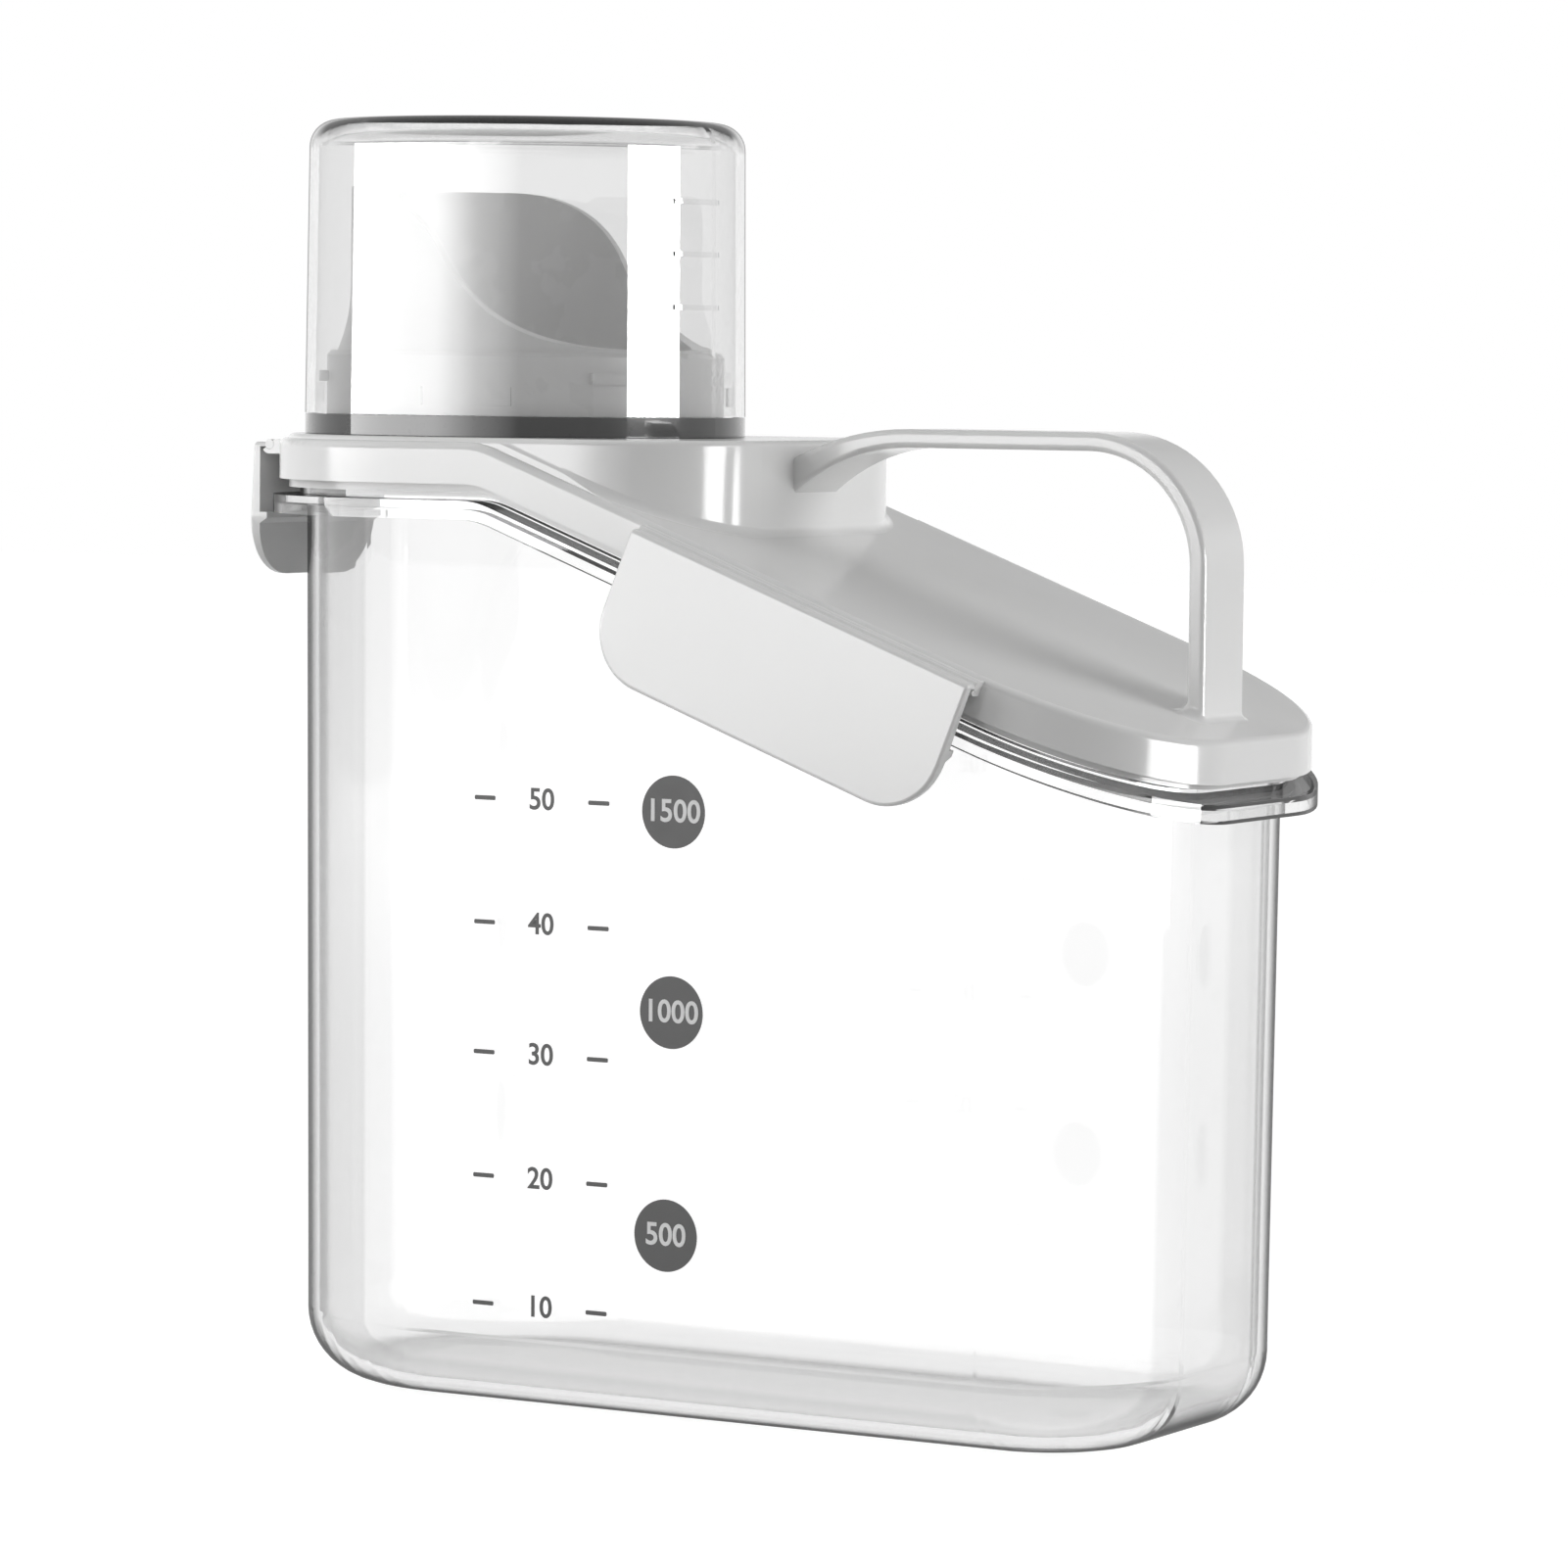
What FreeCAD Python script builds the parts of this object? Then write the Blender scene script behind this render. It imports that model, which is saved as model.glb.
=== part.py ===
# Cereal container: a clear tank with a sloping rim, a white lid with lock flaps and a handle,
# a pour spout on the lid's level platform and a measuring cup that covers the spout.
# The frame's origin is the middle of the tank's foot. X runs along the tank towards the handle,
# Y across it and Z up. All lengths are in millimetres.

import FreeCAD, Part
import Sketcher
import math
import os

DOCUMENT = FreeCAD.newDocument("cereal_container")
SHEET = DOCUMENT.addObject("Spreadsheet::Sheet", "Sizes")

# Plan of the lid, which the tank, the gasket and the rim rings follow at their own insets
PLAN = {
    "lid_length": 195.2,
    "lid_width": 94.4,
    "lid_left_radius": 44.5,
    "lid_right_radius": 33.4,
    "end_straight": 1,
}

# Side view of the rim: level on the left, then a rounded bend and a straight fall to the right
RIM = {
    "rim_level": 166.4,
    "rim_angle": 20.6,
    "bend_from_left": 63.2,
    "bend_radius": 17,
}

TANK = {
    "tank_inset": 5.1,
    "tank_wall": 2,
    "tank_floor": 2.4,
    "foot_radius": 13,
    "draft_angle": 0.46,
    "flange_reach": 1.1,
    "flange_gap": 2.9,
    "flange_web": 1.6,
    "flange_lip": 1.5,
    "flange_drop": 3.4,
    "upstand_inset": 3.8,
    "upstand_wall": 1.6,
    "upstand_rise": 3,
}

LID = {
    "skirt_height": 7.5,
    "skirt_wall": 1.8,
    "skirt_round": 1.4,
    "deck_wall": 2,
    "ledge_wall": 1.5,
    "ledge_drop": 1.5,
    "plug_gap": 0.5,
    "plug_wall": 1.4,
    "platform_inset": 1.6,
    "platform_length": 104,
    "platform_rise": 0.8,
    "platform_corner": 26,
    "platform_wall": 2.2,
    "platform_round": 1,
    "blend_radius": 2,
}

HANDLE = {
    "handle_width": 16.4,
    "handle_thickness": 3.3,
    "handle_rise": 2.4,
    "handle_bend": 20,
    "handle_leg_inset": 7.3,
    "handle_root_sink": 2,
    "handle_root_run": 25,
    "handle_root_fall": 6.4,
    "handle_root_depth": 7.2,
    "handle_round": 1,
    "handle_leg_sink": 1,
}

GASKET = {
    "gasket_slack": 0.1,
    "gasket_lift": 0.1,
}

SPOUT = {
    "cup_from_left": 43.7,
    "spout_bore_radius": 30.6,
    "spout_wall": 1.8,
    "spout_sleeve": 6,
    "spout_fit": 0.3,
    "collar_radius": 36.7,
    "collar_height": 15.3,
    "collar_chamfer": 0.8,
    "spout_flare_rise": 12,
    "spout_flare_reach": 2.4,
    "spout_peak": 45.3,
    "spout_low": 15.9,
    "spout_peak_run": 19,
    "spout_peak_radius": 24,
    "spout_low_radius": 32.7,
    "bayonet_reach": 1.5,
    "bayonet_height": 2,
    "bayonet_under": 9.6,
    "bayonet_angle": 25,
    "bayonet_bearing": -27.5,
}

CUP = {
    "seal_height": 3.6,
    "seal_slack": 0.3,
    "seat_gap": 0.1,
    "cup_radius": 40.7,
    "cup_height": 53.8,
    "cup_taper": 0.5,
    "cup_wall": 1.8,
    "cup_top": 2.2,
    "cup_corner": 5,
    "cup_lug_reach": 1.5,
    "cup_lug_height": 3.4,
    "cup_lug_lift": 1.8,
    "cup_lug_angle": 24.7,
    "cup_lug_bearing": -74.3,
}

FLAP = {
    "hinge_out": 1.5,
    "hinge_drop": 1.5,
    "bead_radius": 0.9,
    "bead_fit": 0.06,
    "rail_wall": 0.8,
    "rail_open_start": 136,
    "rail_open_end": 324,
    "rail_sink": 1.2,
    "end_rail_sink": 3.1,
    "neck_thickness": 0.8,
    "flap_gap": 0.35,
    "flap_thickness": 1.5,
    "flap_flare": 1.2,
    "flap_corner": 11,
    "flap_round": 0.6,
    "front_flap_length": 71.6,
    "front_flap_drop": 25.6,
    "front_flap_place": 34.5,
    "end_flap_length": 35,
    "end_flap_drop": 24.4,
    "catch_gap": 0.35,
    "catch_thickness": 1.6,
    "catch_slope": 0.5,
    "catch_clear": 0.9,
}

OTHER = {
    "overrun": 10,
}


class Size:
    """A length or angle that keeps its number together with the sheet expression that gives it."""

    def __init__(self, value, text):
        self.value = value
        self.text = text

    def _join(self, other, sign, value):
        text = other.text if isinstance(other, Size) else repr(other)
        return Size(value, "(%s %s %s)" % (self.text, sign, text))

    def __add__(self, other):
        return self._join(other, "+", self.value + number(other))

    def __sub__(self, other):
        return self._join(other, "-", self.value - number(other))

    def __mul__(self, other):
        return self._join(other, "*", self.value * number(other))

    def __truediv__(self, other):
        return self._join(other, "/", self.value / number(other))

    def __neg__(self):
        return Size(-self.value, "(0 - %s)" % self.text)


def number(thing):
    """The plain number of a size, or the number itself."""
    return thing.value if isinstance(thing, Size) else thing


def sine(angle):
    return Size(math.sin(math.radians(angle.value)), "sin(%s)" % angle.text)


def cosine(angle):
    return Size(math.cos(math.radians(angle.value)), "cos(%s)" % angle.text)


def tangent(angle):
    return Size(math.tan(math.radians(angle.value)), "tan(%s)" % angle.text)


def root(square):
    return Size(math.sqrt(square.value), "sqrt(%s)" % square.text)


def least(first, second):
    return Size(min(first.value, second.value), "min(%s; %s)" % (first.text, second.text))


# Fill the sheet: names in column A, numbers with their aliases in column B
SIZES = {}
for group in (PLAN, RIM, TANK, LID, HANDLE, GASKET, SPOUT, CUP, FLAP, OTHER):
    for alias, value in group.items():
        row = len(SIZES) + 1
        SHEET.set("A%d" % row, alias)
        SHEET.set("B%d" % row, str(value))
        SHEET.setAlias("B%d" % row, alias)
        SIZES[alias] = Size(value, "Sizes.%s" % alias)
DOCUMENT.recompute()
ZERO = Size(0.0, "0")
ONE = Size(1.0, "1")


def size(alias):
    return SIZES[alias]


# The corner radii of the lid's plan leave at least the straight part at each end
WIDEST_RADIUS = (size("lid_width") - size("end_straight")) / 2
LEFT_RADIUS = least(size("lid_left_radius"), WIDEST_RADIUS)
RIGHT_RADIUS = least(size("lid_right_radius"), WIDEST_RADIUS)


# Sketches

def origin_plane(body, role):
    """The body's own origin plane with this role."""
    for feature in body.Origin.OriginFeatures:
        if feature.Role == role:
            return feature


def new_body(name):
    return DOCUMENT.addObject("PartDesign::Body", name)


def new_sketch(body, role, name):
    sketch = body.newObject("Sketcher::SketchObject", name)
    sketch.AttachmentSupport = [(origin_plane(body, role), "")]
    sketch.MapMode = "FlatFace"
    return sketch


def drive(sketch, constraint, length):
    """Add one constraint and bind its value to the sheet."""
    index = sketch.addConstraint(constraint)
    sketch.setExpression("Constraints[%d]" % index, length.text)


def pin(sketch, line, end, across, up):
    """Hold one end of a line or arc at named distances from the sketch's origin."""
    for kind, axis, length in (("DistanceX", -2, across), ("DistanceY", -1, up)):
        if length.value > 0:
            drive(sketch, Sketcher.Constraint(kind, -1, 1, line, end, length.value), length)
        elif length.value < 0:
            drive(sketch, Sketcher.Constraint(kind, line, end, -1, 1, -length.value), -length)
        else:
            sketch.addConstraint(Sketcher.Constraint("PointOnObject", line, end, axis))


def arc_centre(start, finish, radius, turn):
    """Centre of the shorter arc between two points; turn is 1 for anticlockwise and -1 for clockwise."""
    chord = finish - start
    half = chord.Length / 2
    rise = math.sqrt(max(radius * radius - half * half, 0))
    normal = FreeCAD.Vector(-chord.y, chord.x, 0).normalize()
    return start + chord / 2 + normal * rise * turn


def draw_loop(sketch, corners, arcs=None):
    """Draw a closed loop through pinned corners; arcs gives (radius, turn) for the sides that are round."""
    arcs = arcs or {}
    points = [FreeCAD.Vector(number(across), number(up), 0) for across, up in corners]
    made = []
    for side, start in enumerate(points):
        finish = points[(side + 1) % len(points)]
        if side in arcs:
            radius, turn = arcs[side]
            centre = arc_centre(start, finish, radius.value, turn)
            first, last = (start, finish) if turn > 0 else (finish, start)
            circle = Part.Circle(centre, FreeCAD.Vector(0, 0, 1), radius.value)
            begin = math.atan2(first.y - centre.y, first.x - centre.x)
            end = math.atan2(last.y - centre.y, last.x - centre.x)
            made.append((sketch.addGeometry(Part.ArcOfCircle(circle, begin, end)), 1 if turn > 0 else 2))
        else:
            made.append((sketch.addGeometry(Part.LineSegment(start, finish)), 1))
    for side, (line, start_end) in enumerate(made):
        after, after_start = made[(side + 1) % len(made)]
        sketch.addConstraint(Sketcher.Constraint("Coincident", line, 3 - start_end, after, after_start))
        pin(sketch, line, start_end, *corners[side])
        if side in arcs:
            drive(sketch, Sketcher.Constraint("Radius", line, arcs[side][0].value), arcs[side][0])


def draw_circle(sketch, radius):
    line = sketch.addGeometry(Part.Circle(FreeCAD.Vector(), FreeCAD.Vector(0, 0, 1), radius.value))
    sketch.addConstraint(Sketcher.Constraint("Coincident", line, 3, -1, 1))
    drive(sketch, Sketcher.Constraint("Radius", line, radius.value), radius)


def draw_plan(sketch, left, right, half_width, left_radius, right_radius):
    """A rounded rectangle seen from above, with one corner radius at each end."""
    low = -half_width
    corners = [
        (left + left_radius, low), (right - right_radius, low),
        (right, low + right_radius), (right, half_width - right_radius),
        (right - right_radius, half_width), (left + left_radius, half_width),
        (left, half_width - left_radius), (left, low + left_radius),
    ]
    arcs = {1: (right_radius, 1), 3: (right_radius, 1), 5: (left_radius, 1), 7: (left_radius, 1)}
    draw_loop(sketch, corners, arcs)


def draw_inset_plan(sketch, inset):
    """The lid's plan, drawn this far inside its outline."""
    end = size("lid_length") / 2 - inset
    side = size("lid_width") / 2 - inset
    draw_plan(sketch, -end, end, side, LEFT_RADIUS - inset, RIGHT_RADIUS - inset)


# Features

def pad(body, sketch, length, both_ways=False):
    feature = body.newObject("PartDesign::Pad", sketch.Name + "_pad")
    feature.Profile = sketch
    feature.setExpression("Length", length.text)
    feature.Midplane = both_ways
    sketch.Visibility = False
    return feature


def plan_prism(name, inset, inner=None):
    """An upright prism on the lid's plan, or a ring between two insets, from the foot to above the lid."""
    body = new_body(name)
    sketch = new_sketch(body, "XY_Plane", name + "_plan")
    draw_inset_plan(sketch, inset)
    if inner is not None:
        draw_inset_plan(sketch, inner)
    pad(body, sketch, size("rim_level") + size("skirt_height") + size("overrun"))
    return body


def rim_points(level):
    """The rim line at a level: left end, start and finish of the bend, right end."""
    far = size("lid_length") / 2 + size("overrun")
    bend = size("bend_from_left") - size("lid_length") / 2
    slope = size("rim_angle")
    run = size("bend_radius") * tangent(slope / 2)
    return [
        (-far, level), (bend - run, level),
        (bend + run * cosine(slope), level - run * sine(slope)),
        (far, level - (far - bend) * tangent(slope)),
    ]


def rim_slab(name, low, high):
    """Everything between two rim lines."""
    body = new_body(name)
    sketch = new_sketch(body, "XZ_Plane", name + "_side")
    draw_loop(sketch, rim_points(low) + rim_points(high)[::-1],
              {1: (size("bend_radius"), -1), 5: (size("bend_radius"), 1)})
    pad(body, sketch, size("lid_width") + size("overrun"), True)
    return body


def block_over_rim(name, low, flat):
    """Everything above the rim line at low and below a flat level."""
    body = new_body(name)
    sketch = new_sketch(body, "XZ_Plane", name + "_side")
    far = size("lid_length") / 2 + size("overrun")
    draw_loop(sketch, rim_points(low) + [(far, flat), (-far, flat)], {1: (size("bend_radius"), -1)})
    pad(body, sketch, size("lid_width") + size("overrun"), True)
    return body


def block_under_rim(name, flat, high):
    """Everything above a flat level and below the rim line at high."""
    body = new_body(name)
    sketch = new_sketch(body, "XZ_Plane", name + "_side")
    far = size("lid_length") / 2 + size("overrun")
    draw_loop(sketch, [(-far, flat), (far, flat)] + rim_points(high)[::-1], {3: (size("bend_radius"), 1)})
    pad(body, sketch, size("lid_width") + size("overrun"), True)
    return body


def common(name, *shapes):
    result = DOCUMENT.addObject("Part::MultiCommon", name)
    result.Shapes = list(shapes)
    return result


def fuse(name, *shapes):
    result = DOCUMENT.addObject("Part::MultiFuse", name)
    result.Shapes = list(shapes)
    result.Refine = True
    return result


def cut(name, base, tool):
    result = DOCUMENT.addObject("Part::Cut", name)
    result.Base = base
    result.Tool = tool
    return result


def place(thing, across=None, deep=None, up=None, axis=None, angle=None):
    """Bind a placement to the sheet: a shift, and a turn about an axis."""
    if axis is not None:
        thing.Placement = FreeCAD.Placement(FreeCAD.Vector(), FreeCAD.Rotation(axis, angle.value))
        thing.setExpression(".Placement.Rotation.Angle", angle.text)
    for key, length in (("x", across), ("y", deep), ("z", up)):
        if length is not None:
            thing.setExpression(".Placement.Base.%s" % key, length.text)


# Levels of the rim, as heights above the foot on the level part of the rim line
SKIRT_LOW = size("rim_level")
DECK_TOP = SKIRT_LOW + size("skirt_height")
DECK_UNDER = DECK_TOP - size("deck_wall")
PLATFORM_TOP = DECK_TOP + size("platform_rise")
FLANGE_TOP = SKIRT_LOW - size("flange_gap")
UPSTAND_TOP = SKIRT_LOW + size("upstand_rise")
LID_END = size("lid_length") / 2
LID_SIDE = size("lid_width") / 2
BEND = size("bend_from_left") - LID_END


def deck_height(across):
    """Height of the sloping deck's top at a place along the lid."""
    return DECK_TOP - (across - BEND) * tangent(size("rim_angle"))


# Tank

def tapered_solid(name, inset, foot, radius):
    """A drafted block on the lid's plan, narrower at the foot, with its foot edge rounded."""
    body = new_body(name)
    sketch = new_sketch(body, "XY_Plane", name + "_foot")
    draw_inset_plan(sketch, inset + (size("rim_level") - foot) * tangent(size("draft_angle")))
    sketch.setExpression(".AttachmentOffset.Base.z", foot.text)
    block = pad(body, sketch, size("rim_level") - foot)
    block.setExpression("TaperAngle", size("draft_angle").text)
    DOCUMENT.recompute()
    low = block.Shape.BoundBox.ZMin
    edges = []
    for index, edge in enumerate(block.Shape.Edges):
        if edge.BoundBox.ZMax < low + size("tank_wall").value:
            edges.append("Edge%d" % (index + 1))
    rounding = body.newObject("PartDesign::Fillet", name + "_round")
    rounding.Base = (block, edges)
    rounding.setExpression("Radius", radius.text)
    return body


tank_outside = tapered_solid("tank_outside", size("tank_inset"), ZERO, size("foot_radius"))
tank_inside = tapered_solid("tank_inside", size("tank_inset") + size("tank_wall"), size("tank_floor"),
                            size("foot_radius") - size("tank_wall"))
web_inner = size("tank_inset") + size("tank_wall") / 2
upstand_inner = size("upstand_inset") + size("upstand_wall")
flange_under = FLANGE_TOP - size("flange_web")
tank_block = common("tank_block", tank_outside, block_under_rim("tank_trim", ZERO, FLANGE_TOP))
flange_web = common("flange_web", plan_prism("web_ring", -size("flange_reach"), web_inner),
                    rim_slab("web_slab", flange_under, FLANGE_TOP))
lip_inner = size("flange_lip") - size("flange_reach")
flange_lip = common("flange_lip", plan_prism("lip_ring", -size("flange_reach"), lip_inner),
                    rim_slab("lip_slab", FLANGE_TOP - size("flange_drop"), FLANGE_TOP))
upstand = common("upstand", plan_prism("upstand_ring", size("upstand_inset"), upstand_inner),
                 rim_slab("upstand_slab", flange_under, UPSTAND_TOP))
tank_full = fuse("tank_full", tank_block, flange_web, flange_lip, upstand)
container_body = cut("container_body", tank_full, tank_inside)

# Lid shell: skirt and deck, with a rounded top edge

lid_skin = new_body("lid_skin")
skin_plan = new_sketch(lid_skin, "XY_Plane", "skin_plan")
draw_inset_plan(skin_plan, ZERO)
pad(lid_skin, skin_plan, DECK_TOP + size("overrun"))
lid_block = common("lid_block", lid_skin, rim_slab("skin_slab", SKIRT_LOW, DECK_TOP))
DOCUMENT.recompute()


def edge_middle(edge):
    return edge.valueAt((edge.FirstParameter + edge.LastParameter) / 2)


def above_slope(point):
    """How far a point lies above the plane of the sloping deck."""
    return point.z - DECK_TOP.value + (point.x - BEND.value) * tangent(size("rim_angle")).value


def rim_edges(shape, reach):
    """Numbers of the edges round the lid's top: on the deck, and not the bend's lines across it."""
    found = []
    for index, edge in enumerate(shape.Edges):
        middle = edge_middle(edge)
        at_end = abs(middle.x) > LID_END.value - reach
        crosses = abs(middle.y) < reach and not at_end
        under_deck = max(above_slope(middle), middle.z - DECK_TOP.value)
        if abs(under_deck) < reach and not crosses:
            found.append(index + 1)
    return found


lid_rounded = DOCUMENT.addObject("Part::Fillet", "lid_rounded")
lid_rounded.Base = lid_block
skirt_round = size("skirt_round").value
lid_rounded.Edges = [(index, skirt_round, skirt_round) for index in rim_edges(lid_block.Shape, skirt_round)]

# Platform: a level block at the spout end with a rounded end above the slope

platform = new_body("platform")
platform_plan = new_sketch(platform, "XY_Plane", "platform_plan")


def draw_platform(sketch, inset):
    draw_plan(sketch, size("platform_inset") + inset - LID_END,
              size("platform_inset") + size("platform_length") - LID_END - inset,
              LID_SIDE - size("platform_inset") - inset,
              LEFT_RADIUS - size("platform_inset") - inset, size("platform_corner") - inset)


draw_platform(platform_plan, ZERO)
platform_pad = pad(platform, platform_plan, PLATFORM_TOP)
DOCUMENT.recompute()
platform_edges = []
for index, edge in enumerate(platform_pad.Shape.Edges):
    if edge.BoundBox.ZMin > PLATFORM_TOP.value - size("platform_round").value:
        platform_edges.append("Edge%d" % (index + 1))
platform_fillet = platform.newObject("PartDesign::Fillet", "platform_fillet")
platform_fillet.Base = (platform_pad, platform_edges)
platform_fillet.setExpression("Radius", size("platform_round").text)
platform_block = common("platform_block", platform,
                        block_over_rim("platform_trim", DECK_UNDER, PLATFORM_TOP + size("overrun")))

# Blends: a rounded foot where the platform's end and the handle's leg rise from the sloping deck

leg_outer = LID_END - size("handle_leg_inset")
leg_inner = leg_outer - size("handle_thickness")
blend_far = LID_END + size("overrun")
deck_blend = new_body("deck_blend")
blend_slope = new_sketch(deck_blend, "XZ_Plane", "blend_slope")
draw_loop(blend_slope, [
    (-blend_far, ZERO), (blend_far, ZERO),
    (blend_far, deck_height(blend_far)), (-blend_far, deck_height(-blend_far)),
])
pad(deck_blend, blend_slope, size("lid_width") + size("overrun"), True)
blend_plan = new_sketch(deck_blend, "XY_Plane", "blend_plan")
draw_platform(blend_plan, ZERO)
leg_round = size("handle_round")
draw_plan(blend_plan, leg_inner, leg_outer, size("handle_width") / 2, leg_round, leg_round)
blend_risers = pad(deck_blend, blend_plan, deck_height(-blend_far) + size("overrun"))
DOCUMENT.recompute()
blend_edges = []
for index, edge in enumerate(blend_risers.Shape.Edges):
    middle = edge_middle(edge)
    on_slope = abs(above_slope(middle)) < size("blend_radius").value / 2
    if on_slope and abs(middle.x) < LID_END.value and abs(middle.y) < LID_SIDE.value:
        blend_edges.append("Edge%d" % (index + 1))
blend_round = deck_blend.newObject("PartDesign::Fillet", "blend_round")
blend_round.Base = (blend_risers, blend_edges)
blend_round.setExpression("Radius", size("blend_radius").text)
blend_trim = new_body("blend_trim")
blend_side = new_sketch(blend_trim, "XZ_Plane", "blend_side")
blend_top = PLATFORM_TOP - size("platform_round")
draw_loop(blend_side, [(BEND, ZERO), (blend_far, ZERO), (blend_far, blend_top), (BEND, blend_top)])
pad(blend_trim, blend_side, size("lid_width"), True)
lid_blend = common("lid_blend", deck_blend, blend_trim, plan_prism("blend_inside", size("skirt_round")),
                   rim_slab("blend_layer", DECK_UNDER, DECK_TOP + size("blend_radius") * 2))
lid_outer = fuse("lid_outer", lid_rounded, platform_block, lid_blend)

# Hollows of the lid: under the deck, and under the platform's top
plug_outer = upstand_inner + size("plug_gap")
plug_inner = plug_outer + size("plug_wall")
deck_hollow = common("deck_hollow", plan_prism("skirt_inside", size("skirt_wall")),
                     block_under_rim("under_deck", ZERO, DECK_UNDER))
platform_under = PLATFORM_TOP - size("platform_wall")
upper_hollow = new_body("upper_hollow")
upper_plan = new_sketch(upper_hollow, "XY_Plane", "upper_plan")
draw_platform(upper_plan, size("platform_wall"))
pad(upper_hollow, upper_plan, platform_under)
upper_room = common("upper_room", upper_hollow, block_over_rim("over_deck", DECK_TOP, platform_under))
middle_hollow = new_body("middle_hollow")
middle_plan = new_sketch(middle_hollow, "XY_Plane", "middle_plan")
draw_platform(middle_plan, plug_inner)
pad(middle_hollow, middle_plan, platform_under)
lid_hollows = fuse("lid_hollows", deck_hollow, upper_room, middle_hollow)
lid_shell = cut("lid_shell", lid_outer, lid_hollows)

# Rings under the deck: the ledge inside the skirt and the plug wall inside the tank's rim
ledge_inner = size("skirt_wall") + size("ledge_wall")
ledge = common("ledge", plan_prism("ledge_ring", size("skirt_wall") / 2, ledge_inner),
               rim_slab("ledge_slab", SKIRT_LOW - size("ledge_drop"), DECK_UNDER + size("deck_wall") / 2))
ledge_outside = cut("ledge_outside", plan_prism("ledge_outer", ZERO, size("skirt_wall")),
                    rim_slab("ledge_keep", SKIRT_LOW, DECK_TOP))
ledge_trim = cut("ledge_trim", ledge, ledge_outside)
plug = common("plug", plan_prism("plug_ring", plug_outer, plug_inner),
              rim_slab("plug_slab", FLANGE_TOP + size("plug_gap"), DECK_UNDER + size("deck_wall") / 2))

# Handle: a flat band from the platform's end wall over the slope and down to the deck

handle = new_body("handle")
handle_side = new_sketch(handle, "XZ_Plane", "handle_side")
band_top = PLATFORM_TOP + size("handle_rise")
band_under = band_top - size("handle_thickness")
root_x = size("platform_inset") + size("platform_length") - LID_END - size("handle_root_sink")
root_end = root_x + size("handle_root_run")
root_top = band_top - size("handle_root_fall")
leg_sink = size("handle_leg_sink")
root_low = root_top - size("handle_root_depth")
under_fall = band_under - root_low
run_square = size("handle_root_run") * size("handle_root_run")
top_fall = size("handle_root_fall")
top_radius = (run_square + top_fall * top_fall) / (top_fall * 2)
under_radius = (run_square + under_fall * under_fall) / (under_fall * 2)
outer_bend = size("handle_bend") + size("handle_thickness")
draw_loop(handle_side, [
    (root_x, root_low), (root_end, band_under), (leg_inner - size("handle_bend"), band_under),
    (leg_inner, band_under - size("handle_bend")), (leg_inner, deck_height(leg_inner) - leg_sink),
    (leg_outer, deck_height(leg_outer) - leg_sink), (leg_outer, band_top - outer_bend),
    (leg_outer - outer_bend, band_top), (root_end, band_top), (root_x, root_top),
], {0: (under_radius, -1), 2: (size("handle_bend"), -1), 6: (outer_bend, 1), 8: (top_radius, 1)})
handle_pad = pad(handle, handle_side, size("handle_width"), True)
DOCUMENT.recompute()
handle_edges = []
for index, edge in enumerate(handle_pad.Shape.Edges):
    middle = edge_middle(edge)
    if abs(middle.y) > size("handle_width").value / 2 - size("handle_round").value:
        ends = [vertex.Point.x for vertex in edge.Vertexes]
        at_root = max(ends) < root_x.value + size("handle_round").value
        at_foot = middle.z < deck_height(leg_inner).value
        if not at_root and not at_foot:
            handle_edges.append("Edge%d" % (index + 1))
handle_fillet = handle.newObject("PartDesign::Fillet", "handle_fillet")
handle_fillet.Base = (handle_pad, handle_edges)
handle_fillet.setExpression("Radius", size("handle_round").text)

# Flaps and their hinge rails, drawn on the hinge axis: X along the axis, -Y outwards, Z up from the deck

BEAD_BORE = size("bead_radius") + size("bead_fit")
RAIL_RADIUS = BEAD_BORE + size("rail_wall")
FLAP_FACE = RAIL_RADIUS + size("flap_gap")


def polar(radius, bearing):
    """A point of the section at a bearing from the hinge axis; bearing 0 points outwards, 90 up."""
    return (-radius * cosine(bearing), radius * sine(bearing))


def hinge_rail(name, length, sink):
    """The J-shaped channel on the lid's edge that the flap's bead turns in."""
    body = new_body(name)
    sketch = new_sketch(body, "YZ_Plane", name + "_section")
    start = size("rail_open_start")
    finish = size("rail_open_end")
    inner = size("hinge_out") + sink
    draw_loop(sketch, [
        polar(BEAD_BORE, start), (BEAD_BORE, ZERO), (ZERO, -BEAD_BORE), polar(BEAD_BORE, finish),
        polar(RAIL_RADIUS, finish), (ZERO, -RAIL_RADIUS), (inner, -RAIL_RADIUS), (inner, BEAD_BORE),
        (size("hinge_out"), BEAD_BORE),
    ], {0: (BEAD_BORE, -1), 1: (BEAD_BORE, -1), 2: (BEAD_BORE, -1), 4: (RAIL_RADIUS, 1)})
    pad(body, sketch, length, True)
    return body


def outer_edges(shape, outer, top):
    """Numbers of the edges round a flap's outer face, below its rounded top."""
    found = []
    for index, edge in enumerate(shape.Edges):
        ends = [vertex.Point for vertex in edge.Vertexes]
        if max(point.y for point in ends) < outer + top / 2 and max(point.z for point in ends) < top:
            straight_top = abs(ends[0].z - ends[-1].z) < top and min(point.z for point in ends) > -top * 2
            if not straight_top:
                found.append(index + 1)
    return found


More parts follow.
